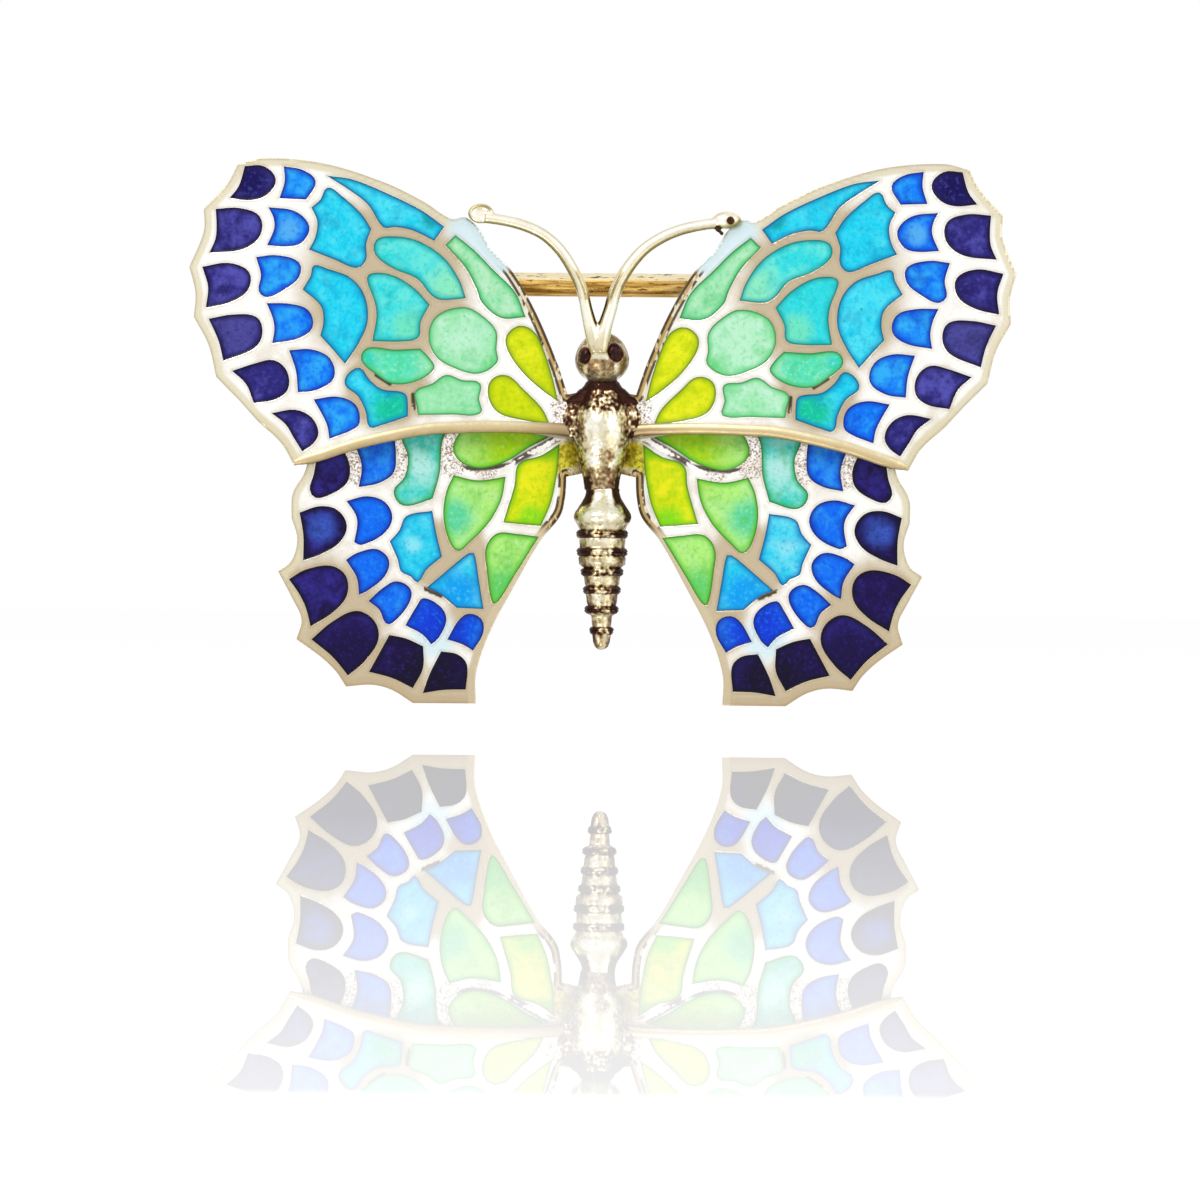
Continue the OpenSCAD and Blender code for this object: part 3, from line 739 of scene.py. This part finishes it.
def bead_finish():
    """Silver with painted shade underneath, and darker towards the body."""
    f = Finish("Silver_bead")
    smear = f.cloud(0.9, detail=4)
    fine = f.cloud(0.15, detail=3, shift=3)
    down = f.read("down") + (smear - 0.5) * 0.35 + (fine - 0.5) * 0.25
    # painted shade: pale on top, darker underneath, with a dark line along the bottom
    f.colour = f.mix(f.step(down, 0.15, 0.45), (232, 221, 188), (202, 183, 140))
    f.lay(f.step(down, 0.5, 0.8), (180, 156, 112))
    f.lay((1 - f.step(abs(f.x), 1.5, 5)) * 0.65, (134, 106, 74))
    f.lay(f.step(down, 0.86, 1) * 0.7, (116, 92, 62))
    return f.surface(metallic=0.85, roughness=0.32 + fine * 0.12,
                     normal=f.bump(smear, 0.2, 0.02))


bead_silver = bead_finish()
for side in SIDES:
    bead_piece(side, bead_silver)


# ---------- body

BODY_Y = 1.6  # the body's axis lies this far behind the foremost line
THORAX_X = 0.03  # the thorax lies this far to the right
ABDOMEN_X = 0.09  # the abdomen lies this far to the right
BODY_STEP = 0.06  # spacing of the points along the body's profiles
TURNS = 160  # points round the body
BODY_GRAIN = 0.05  # grain at which the thorax and its solder run together
# The dents and the finer pits of the cast metal: sizes, heights and darkness
DENT, PIT = 0.5, 0.17
DENT_H, PIT_H = 0.03, 0.035
DENT_DARK, PIT_DARK = 0.35, 0.5


def turned(profile):
    """A closed solid of revolution round an upright axis through the origin, in mm."""
    mesh = bmesh.new()
    rail = [mesh.verts.new((max(0, r), 0, z)) for r, z in profile]
    edges = [mesh.edges.new(pair) for pair in zip(rail, rail[1:])]
    bmesh.ops.spin(mesh, geom=rail + edges, cent=(0, 0, 0), axis=(0, 0, 1),
                   angle=2 * math.pi, steps=TURNS, use_merge=True)
    bmesh.ops.remove_doubles(mesh, verts=mesh.verts, dist=1e-5)
    bmesh.ops.recalc_face_normals(mesh, faces=mesh.faces)
    return mesh


def rise(value, low, high):
    """0 below low, 1 above high, and a straight rise between."""
    return max(0, min(1, (value - low) / (high - low)))


def beaten(mesh, look, seed):
    """Dents a mesh like worn cast metal; look(point) gives its darkness, mostly painted shade,
    and its roughness.
    """
    patina_and_shade = mesh.verts.layers.float.new("patina_and_shade")
    mesh.normal_update()
    moves = []
    for v in mesh.verts:
        dent = noise.noise(v.co / DENT + seed)
        pit = noise.noise(v.co / PIT + seed * 2)
        dark, rough = look(v.co)
        v[patina_and_shade] = dark - (dent * DENT_DARK + pit * PIT_DARK) * rough
        moves.append((v, v.normal * (dent * DENT_H + pit * PIT_H) * rough))
    for v, move in moves:
        v.co += move


def set_down(mesh, x, y, z=0.0):
    """Takes a mesh drawn in mm round its own axis to its place on the butterfly."""
    for v in mesh.verts:
        v.co = place(v.co.x + x, v.co.z + z, v.co.y + y)


def run_together(mesh, grain, passes):
    """Runs overlapping forms together, as solder does, and smooths the joins."""
    data = bpy.data.meshes.new("Rough")
    mesh.to_mesh(data)
    mesh.free()
    rough = placed("Rough", data)
    remesh = rough.modifiers.new("Even", "REMESH")
    remesh.mode = "VOXEL"
    remesh.voxel_size = grain
    shape = rough.evaluated_get(bpy.context.evaluated_depsgraph_get())
    even = bmesh.new()
    even.from_mesh(shape.to_mesh())
    shape.to_mesh_clear()
    bpy.data.objects.remove(rough)
    for _ in range(passes):
        bmesh.ops.smooth_vert(even, verts=even.verts, factor=0.5,
                              use_axis_x=True, use_axis_y=True, use_axis_z=True)
    return even


# Profiles of the body as [distance from the axis, height]
THORAX = [(0, -3.05), (0.5, -3.04), (0.84, -2.95), (0.93, -2.4), (1.15, -1.5), (1.36, -0.6),
          (1.46, 0.2), (1.36, 0.95), (1.12, 1.55), (0.92, 2), (0.86, 2.4), (0.5, 2.6),
          (0, 2.6)]
# Lumps of solder on each side, over the wing's root, the shoulder and the neck: place
# [x, y, z], half sizes, and lean in degrees
LUMPS = [((0.88, -0.05, 1.84), (0.56, 0.5, 0.34), 28),
         ((1.02, -0.1, 1.5), (0.92, 0.5, 0.36), 8),
         ((1.3, -0.2, 0.5), (0.74, 0.42, 0.95), 0),
         ((0.4, 0, 2.1), (0.62, 0.7, 0.3), 0)]
BELL = [(0, -2.8), (0.5, -2.82), (0.82, -2.9), (0.84, -3.1), (0.94, -3.4), (1.14, -3.74),
        (1.37, -4.08), (1.45, -4.32), (1.38, -4.56), (1.26, -4.74), (1.18, -4.9)]
# Hoops of the abdomen as [height, radius, radius of the body below the hoop]; the last
# one runs into the tip
HOOPS = [(-5.2, 1.3, 1.13), (-6.1, 1.29, 1.16), (-7.1, 1.08, 0.87), (-8, 0.96, 0.76),
         (-8.98, 0.87, 0.5), (-10.05, 0.62, None)]
# Profiles of a hoop and of the body below it, as [distance from the hoop's or the
# body's radius, height from the hoop's middle]
HOOP = [(-0.16, 0.2), (-0.09, 0.18), (-0.02, 0.099), (0, 0.036), (-0.05, 0), (-0.01, -0.045),
        (-0.03, -0.108), (-0.1, -0.18), (-0.15, -0.21)]
WAIST = [(0.03, -0.3), (0.01, -0.45), (0, -0.6)]
TIP = [(0.42, -10.6), (0.32, -10.84), (0.16, -10.96), (0, -11)]


def thorax_piece(finish):
    """The thorax with solder run over the wings' roots, the shoulders and the neck."""
    mesh = turned(eased(THORAX, BODY_STEP))
    for side in (-1, 1):
        for at, size, lean in LUMPS:
            lump = bmesh.ops.create_icosphere(mesh, subdivisions=4, radius=1.0)["verts"]
            bmesh.ops.scale(mesh, vec=size, verts=lump)
            bmesh.ops.rotate(mesh, cent=(0, 0, 0), verts=lump,
                             matrix=Matrix.Rotation(math.radians(side * lean), 3, "Y"))
            bmesh.ops.translate(mesh, vec=(side * at[0], at[1], at[2]), verts=lump)
    mesh = run_together(mesh, BODY_GRAIN, 4)

    # here and below, the dark places are mostly painted shade, on the sides, tops and
    # undersides of the body's forms and in their creases, with a few darker patches; each is a
    # strength times the spans in mm where it comes in
    def look(p):
        # painted shade on the neck, the shoulders, the flanks and the lower thorax
        out = abs(p.x - 0.05)
        turn = out / max(0.01, math.hypot(p.x, p.y))
        top = rise(p.z, 1.15, 1.5)
        lump = rise(out, 1.1, 1.35) * (1 - top)
        shoulder = top * rise(out, 0.5, 0.75)
        flank = rise(out, 0.8, 1.05) * rise(p.z, -0.8, 0.2)
        patch = rise(0.6 - math.hypot(p.x - 0.25, p.z + 1.35), 0, 0.3)
        foot = rise(-p.z, 1.9, 2.5) * rise(turn, 0.55, 0.8)
        dark = max(0.95 * rise(p.z, 1.85, 2.05), 0.95 * shoulder, 0.24 * lump,
                   0.42 * rise(p.z, 0.8, 1.3), 0.38 * rise(out, 0.72, 1),
                   0.42 * flank, 0.4 * rise(-p.z, 1.4, 2), 0.34 * patch, 0.85 * foot)
        grain = max(rise(p.z, 0.7, 1.2), lump, 0.3 * rise(out, 0.7, 1))
        return 0.1 + dark, 0.4 + 0.9 * grain * (1 - shoulder)

    beaten(mesh, look, Vector((0, 0, 4)))
    set_down(mesh, THORAX_X, BODY_Y)
    finished(mesh, "thorax_cast", finish, ["thorax"], sharp=80)


def abdomen_piece(finish):
    """The bell under the thorax and the hooped abdomen, down to its tip."""
    profile = eased(BELL, BODY_STEP)
    for z, r, below in HOOPS:
        profile += [(r + out, z + up) for out, up in HOOP]
        if below:
            profile += [(below + out, z + up) for out, up in WAIST]
    profile += eased(TIP, BODY_STEP)
    mesh = turned(profile)

    def look(p):
        # painted shade on the sides of the rings, the waist and the bands, and on the bell's
        # rim, more on its right side
        turn = abs(p.x) / max(0.01, math.hypot(p.x, p.y))
        near = min(abs(p.z - z) for z, _, _ in HOOPS)
        ring = rise(0.24 - near, 0, 0.06)
        waist = 0.95 * rise(p.z, -4, -3.6) * rise(turn, 0.42, 0.65)
        rim = rise(turn, 0.66, 0.86) * rise(p.z, -4.75, -4.5)
        band = 0.22 + 0.22 * rise(turn, 0.5, 0.9) + 0.1 * rise(-p.z, 5.3, 6)
        bell = rise(p.z, -4.7, -4.5)
        return (max(ring * (0.45 + 0.5 * rise(turn, 0.35, 0.8)), waist,
                    rim * (0.95 if p.x > 0 else 0.46), band * (1 - 0.6 * bell)),
                0.4 + 0.7 * ring)

    beaten(mesh, look, Vector((3, 0, 0)))
    set_down(mesh, ABDOMEN_X, BODY_Y)
    finished(mesh, "abdomen_hooped", finish, ["abdomen"], sharp=80)


HEAD_R = 1.35  # radius of the head
HEAD = (1.35, 3.65)  # depth and height of the head's centre
SOCKET_W = 0.08  # a socket reaches this far past its eye
SOCKET_D = 0.25  # depth of a socket
COLLAR_AT = 0.15  # the collar round an eye lies this far past it
COLLAR_W = 0.12  # half width of the collar
COLLAR_H = 0.05  # height of the collar
EYE_D = 0.26  # half depth of an eye
EYE_IN = 0.14  # an eye's middle lies this far under the head's surface
# Eyes as [x, height over the head's centre, half width, half height]
EYES = {"left": (-0.9, 0.08, 0.31, 0.42), "right": (0.7, 0.24, 0.36, 0.5)}


def eye_aim(side):
    """The direction from the head's centre to an eye."""
    x, z, _, _ = EYES[side]
    return Vector((x, -math.sqrt(HEAD_R ** 2 - x * x - z * z), z)).normalized()


def head_piece(finish):
    """The egg-shaped head with a collared socket for each eye."""
    mesh = bmesh.new()
    bmesh.ops.create_icosphere(mesh, subdivisions=6, radius=HEAD_R)
    aims = [(eye_aim(side), EYES[side][2]) for side in SIDES]
    for v in mesh.verts:
        way = v.co.normalized()
        v.co.z *= 0.98
        v.co.x *= 1 - 0.1 * rise(way.z, 0, 1) + 0.03 * rise(-way.z, -0.1, 0.4)
        for aim, size in aims:
            away = way.angle(aim) * HEAD_R
            socket = max(0, 1 - (away / (size + SOCKET_W)) ** 2)
            collar = max(0, 1 - abs(away - size - COLLAR_AT) / COLLAR_W)
            v.co += way * (collar * COLLAR_H - socket * SOCKET_D)

    def look(p):
        # painted shade round the eyes, on the sides, top and lip and under the chin, with a
        # darker plate on the face
        way = p.normalized()
        ring = max(max(0, 1 - abs(way.angle(aim) * HEAD_R - size - 0.06) / 0.16)
                   for aim, size in aims)
        out = abs(p.x + 0.05)
        chin = rise(-p.z, 1.16, 1.3)
        plate = rise(-p.z, 0, 0.15) * (1 - rise(-p.z, 0.9, 1.05)) * rise(0.75 - out, 0, 0.12)
        lip = rise(-p.z, 1, 1.1)
        side = rise(out, 0.75, 1)
        dark = max(0.75 * ring, 0.42 * plate, 0.4 * side, 0.22 * lip, 0.9 * chin,
                   0.4 * rise(p.z, 0.3, 0.8))
        return 0.06 + dark, 0.2

    beaten(mesh, look, Vector((0, 5, 0)))
    set_down(mesh, 0, *HEAD)
    finished(mesh, "head_cast", finish, ["head"], sharp=80)


def eye_piece(side, finish):
    """One glass eye, an oval set into its socket."""
    _, _, wide, high = EYES[side]
    aim = eye_aim(side)
    mesh = bmesh.new()
    bmesh.ops.create_uvsphere(mesh, u_segments=48, v_segments=32, radius=1.0)
    bmesh.ops.scale(mesh, vec=(wide, EYE_D, high), verts=mesh.verts)
    bmesh.ops.rotate(mesh, verts=mesh.verts, cent=(0, 0, 0),
                     matrix=Matrix.Rotation(math.atan2(aim.x, -aim.y), 3, "Z"))
    bmesh.ops.translate(mesh, vec=aim * (HEAD_R - EYE_IN), verts=mesh.verts)
    set_down(mesh, 0, *HEAD)
    finished(mesh, f"eye_{side}_glass", finish, [f"eye_{side}"])


cast_silver = cast_finish()
thorax_piece(cast_silver)
abdomen_piece(cast_silver)
head_piece(cast_silver)
eye_glass = eye_finish()
for side in SIDES:
    eye_piece(side, eye_glass)


# ---------- antennae

# Middle line of each antenna from the brow to the tip, as [x, z, radius]
ANTENNAE = {
    "left": [(-0.3, 3.85, 0.3), (-0.44, 4.5, 0.36), (-0.6, 5.2, 0.36), (-0.8, 6, 0.31),
             (-1.04, 7, 0.29), (-1.5, 8, 0.29), (-2.16, 9, 0.29), (-3, 9.75, 0.28),
             (-4, 10.2, 0.28), (-5, 10.44, 0.27), (-5.9, 10.56, 0.27)],
    "right": [(-0.05, 3.85, 0.3), (0, 4.5, 0.38), (0.14, 5.2, 0.37), (0.38, 6, 0.34),
              (0.66, 7, 0.33), (1.18, 8, 0.32), (2, 9, 0.3), (3, 9.68, 0.29),
              (4, 10.08, 0.28), (5, 10.3, 0.27), (5.9, 10.42, 0.27)],
}
TIPS = {"left": (-6.12, 10.78), "right": (6.18, 10.54)}
KNOB = (0.72, 0.44)  # half width and half height of the right tip's knob
CURL = (0.48, 0.34)  # the same of the left tip's curl
CURL_WIRE = 0.17  # half thickness of its wire
CURL_FILL = 0.1  # half thickness of the metal inside it
CURL_STEPS = 40  # points round it
PARTING = -0.24  # the right antenna lies to the right of this x
# Solder by the right tip, as [x, z, radius]
SOLDER = [(5.74, 10.08, 0.15), (5.93, 9.88, 0.12)]
# Spots of painted shade by the tips, as [x, z, radius]: the hole in the knob and the solder
SPOTS = [(6.36, 10.5, 0.24)] + [(x, z, r + 0.08) for x, z, r in SOLDER]
WIRE_STEP = 0.2  # spacing of the points along an antenna
WIRE_GRAIN = 0.05  # grain at which the antennae run together


def antenna_finish():
    """Rounded silver wire with painted shade, olive and dark, along its under side."""
    f = Finish("Silver_wire")
    patina_and_shade = f.read("patina_and_shade")
    smear = f.cloud(0.9, (1, 1, 1.5), detail=4)
    fine = f.cloud(0.14, detail=3, shift=2)
    shade = patina_and_shade + (smear - 0.5) * 0.35 + (fine - 0.5) * 0.3
    f.colour = f.mix(f.step(shade, -0.1, 0.25), (248, 243, 228), (222, 210, 178))
    f.lay(f.step(shade, 0.3, 0.6), (160, 144, 96))
    f.lay(f.step(shade, 0.66, 0.86), (58, 36, 22))
    return f.surface(
        metallic=0.85, roughness=0.2 + smear * 0.12,
        normal=f.bump(fine + smear, 0.2, 0.012))


def wire_shade(p, n):
    """How much shade is painted on the antennae at a place in mm where the normal is n."""
    out = 1 if p.x > PARTING else -1
    slope = 0.75 * out * n.x - 0.66 * n.z
    under = rise(slope, 0, 0.7) * rise(p.z, 6.3, 7.2)
    over = rise(-slope, 0.5, 0.9)
    cleft = rise(-out * n.x, 0.15, 0.8) * rise(-p.z, -7.4, -6.4)
    cleft *= rise(p.z, 5, 5.4)
    seam = rise(0.26 - abs(0.3 + out * n.x), 0, 0.12) * rise(-n.y, 0, 0.4)
    seam *= rise(p.z, 6.2, 6.6) * rise(-p.z, -8.3, -7.8)
    x, z = TIPS["left"]
    curl = abs(math.hypot((p.x - x) / CURL[0], (p.z - z) / CURL[1]) - 1.1)
    curl = rise(0.3 - curl, 0, 0.2) * rise(p.z - z, 0, 0.2)
    foot = rise(-p.z, -5.2, -3.9)
    spot = max(rise(r - math.hypot(p.x - x, p.z - z), 0, 0.05) for x, z, r in SPOTS)
    spot *= rise(-n.y, 0.1, 0.4)
    return max(0.66 * under, 0.3 * over, 0.95 * cleft, 0.72 * seam, 0.46 * foot,
               0.9 * spot, 0.6 * curl)


def antennae_piece(finish):
    """Both antennae, grown together at the brow, with the curl, the knob and the solder."""
    mesh = bmesh.new()
    for side, points in ANTENNAE.items():
        line = eased([(x, z) for x, z, _ in points], WIRE_STEP)
        sizes = eased([(z, r) for _, z, r in points], WIRE_STEP)
        path = []
        for x, z in line:
            r = min(sizes, key=lambda size: abs(size[0] - z))[1] * MM
            path.append((place(x, z), r, r))
        swept(mesh, path, 32)
        curled = side == "left"
        wide, high = CURL if curled else KNOB
        knob = bmesh.ops.create_icosphere(mesh, subdivisions=4, radius=MM)["verts"]
        bmesh.ops.scale(mesh, vec=(wide, CURL_FILL if curled else high, high), verts=knob)
        bmesh.ops.translate(mesh, vec=place(*TIPS[side]), verts=knob)
        if curled:
            x, z = TIPS[side]
            turn = [i * 2 * math.pi / CURL_STEPS for i in range(CURL_STEPS + 2)]
            swept(mesh, [(place(x + wide * math.cos(a), z + high * math.sin(a)),
                          CURL_WIRE * MM, CURL_WIRE * MM) for a in turn])
    for x, z, r in SOLDER:
        lump = bmesh.ops.create_icosphere(mesh, subdivisions=3, radius=r * MM)["verts"]
        bmesh.ops.translate(mesh, vec=place(x, z), verts=lump)
    bmesh.ops.recalc_face_normals(mesh, faces=mesh.faces)
    mesh = run_together(mesh, WIRE_GRAIN * MM, 5)
    mesh.normal_update()
    patina_and_shade = mesh.verts.layers.float.new("patina_and_shade")
    for v in mesh.verts:
        v[patina_and_shade] = wire_shade(v.co / MM + Vector((0, FRONT, WING_LINE)), v.normal)
    finished(mesh, "antennae_wire", finish, ["antenna_left", "antenna_right"],
             sharp=80)


antennae_piece(antenna_finish())


# ---------- pin, hinge, catch

FITTING_ROUND = 0.05  # rounding of the fittings' edges
PIN_ROUND = 0.04  # rounding of the pin's edges
FITTING_CORNER = 0.5  # an edge that turns by more than this is rounded, radians


def fitting_piece(node, finish, body, width, name):
    """A fitting with its CAD shape and rounded edges."""
    mesh = copied(node)
    edges = [e for e in mesh.edges
             if len(e.link_faces) == 2 and e.calc_face_angle(0) > FITTING_CORNER]
    soften(mesh, edges, width)
    up = mesh.verts.layers.float.new("up")
    mesh.normal_update()
    for v in mesh.verts:
        v[up] = v.normal.z
    finished(mesh, name, finish, [node], body, sharp=35)


fitting_silver = silver_finish()
for node, made, body in (("hinge_base", "soldered", "brooch"),
                         ("hinge_rivet", "turned", "brooch"),
                         ("catch_body", "soldered", "brooch"),
                         ("catch_rotor", "turned", "rotor")):
    fitting_piece(node, fitting_silver, body, FITTING_ROUND, f"{node}_{made}")
fitting_piece("pin_stem", gilt_finish(), "pin", PIN_ROUND, "pin_stem_drawn")


# ---------- floor, light, camera

FLOOR = -15.05  # height of the floor under the wing line
FLOOR_R = 3.0  # radius of the floor, m
WHITE = (1, 1, 1, 1)
FLOOR_GREY = (0.9, 0.9, 0.9, 1)
FLOOR_GLOW = 0.8  # share of its matt part that glows white
# The floor mirrors MIRROR - MIRROR_FALL / d of the light, but no more than MIRROR_MOST,
# at d mm inside a circle round the brooch through the camera, and it ends at MIRROR_END
MIRROR, MIRROR_FALL, MIRROR_MOST = 0.7358, 49.3, 0.5
MIRROR_END = (91.5, 93.5)
NEAREST = 60.0  # d is never taken as less than this
VIEW_AT = -8.5  # height of the picture's middle
VIEW_FROM = 350.0  # distance of the camera
VIEW_WIDE = 60.0  # width of the picture at the wings
SENSOR = 36.0  # width of the camera's sensor
ROLL = math.radians(0.5)  # the camera is turned this far round its view


def studio_light():
    """Even white light, half as strong on the brooch as the camera sees it."""
    world = bpy.data.worlds.new("Studio")
    bpy.context.scene.world = world
    f = Nodes(world)
    f.node("OutputWorld", sockets={
        0: f.node("Background", sockets={0: WHITE, 1: f.looked_at() * 0.5 + 0.5})})


def floor_finish():
    """Pale glossy floor: a mirror near the brooch that fades away from it."""
    f = Finish("Floor")
    away = (f.x * f.x + f.y * f.y) ** 0.5
    near = (VIEW_FROM + FRONT - away).math("MAXIMUM", NEAREST)
    mirror = (MIRROR - near ** -1 * MIRROR_FALL).math("MINIMUM", MIRROR_MOST)
    mirror = mirror * f.step(near, *MIRROR_END)
    lit = f.node("BsdfDiffuse", sockets={0: FLOOR_GREY})
    glow = f.node("Emission", sockets={0: WHITE, 1: f.looked_at() * 0.675 + 0.45})
    matt = f.node("MixShader", sockets={0: FLOOR_GLOW, 1: lit, 2: glow})
    gloss = f.node("BsdfGlossy", sockets={0: WHITE, 1: 0.005})
    glossy = f.node("MixShader", sockets={0: mirror, 1: matt, 2: gloss})
    f.node("OutputMaterial", sockets={0: glossy})
    return f.owner


def lamp(name, at, size, power):
    """A round lamp aimed at the brooch: size in m, power in W."""
    light = bpy.data.lights.new(name, "AREA")
    light.shape = "DISK"
    light.size = size
    light.energy = power
    holder = placed(name, light)
    holder.location = at
    holder.rotation_euler = (place(0, 0) - at).to_track_quat("-Z", "Y").to_euler()


studio_light()
ground = bmesh.new()
bmesh.ops.create_circle(ground, cap_ends=True, segments=96, radius=FLOOR_R)
for v in ground.verts:
    v.co.z = (FLOOR - WING_LINE) * MM
ground_data = bpy.data.meshes.new("Floor")
ground.to_mesh(ground_data)
ground.free()
ground_data.materials.append(floor_finish())
floor = placed("Floor", ground_data)

lamp("Key", place(-180, 260, -330), 0.25, 0.9)
lamp("Fill", place(260, 120, -260), 0.3, 0.3)

optics = bpy.data.cameras.new("Camera")
optics.sensor_width = SENSOR
optics.lens = SENSOR * VIEW_FROM / VIEW_WIDE
optics.clip_start = 0.01
optics.clip_end = 20.0
camera = placed("Camera", optics)
camera.location = place(0, VIEW_AT, -VIEW_FROM)
camera.rotation_euler = (Matrix.Rotation(math.pi / 2, 3, "X")
                         @ Matrix.Rotation(ROLL, 3, "Z")).to_euler()
bpy.context.scene.camera = camera
bpy.context.scene.view_settings.view_transform = "Standard"
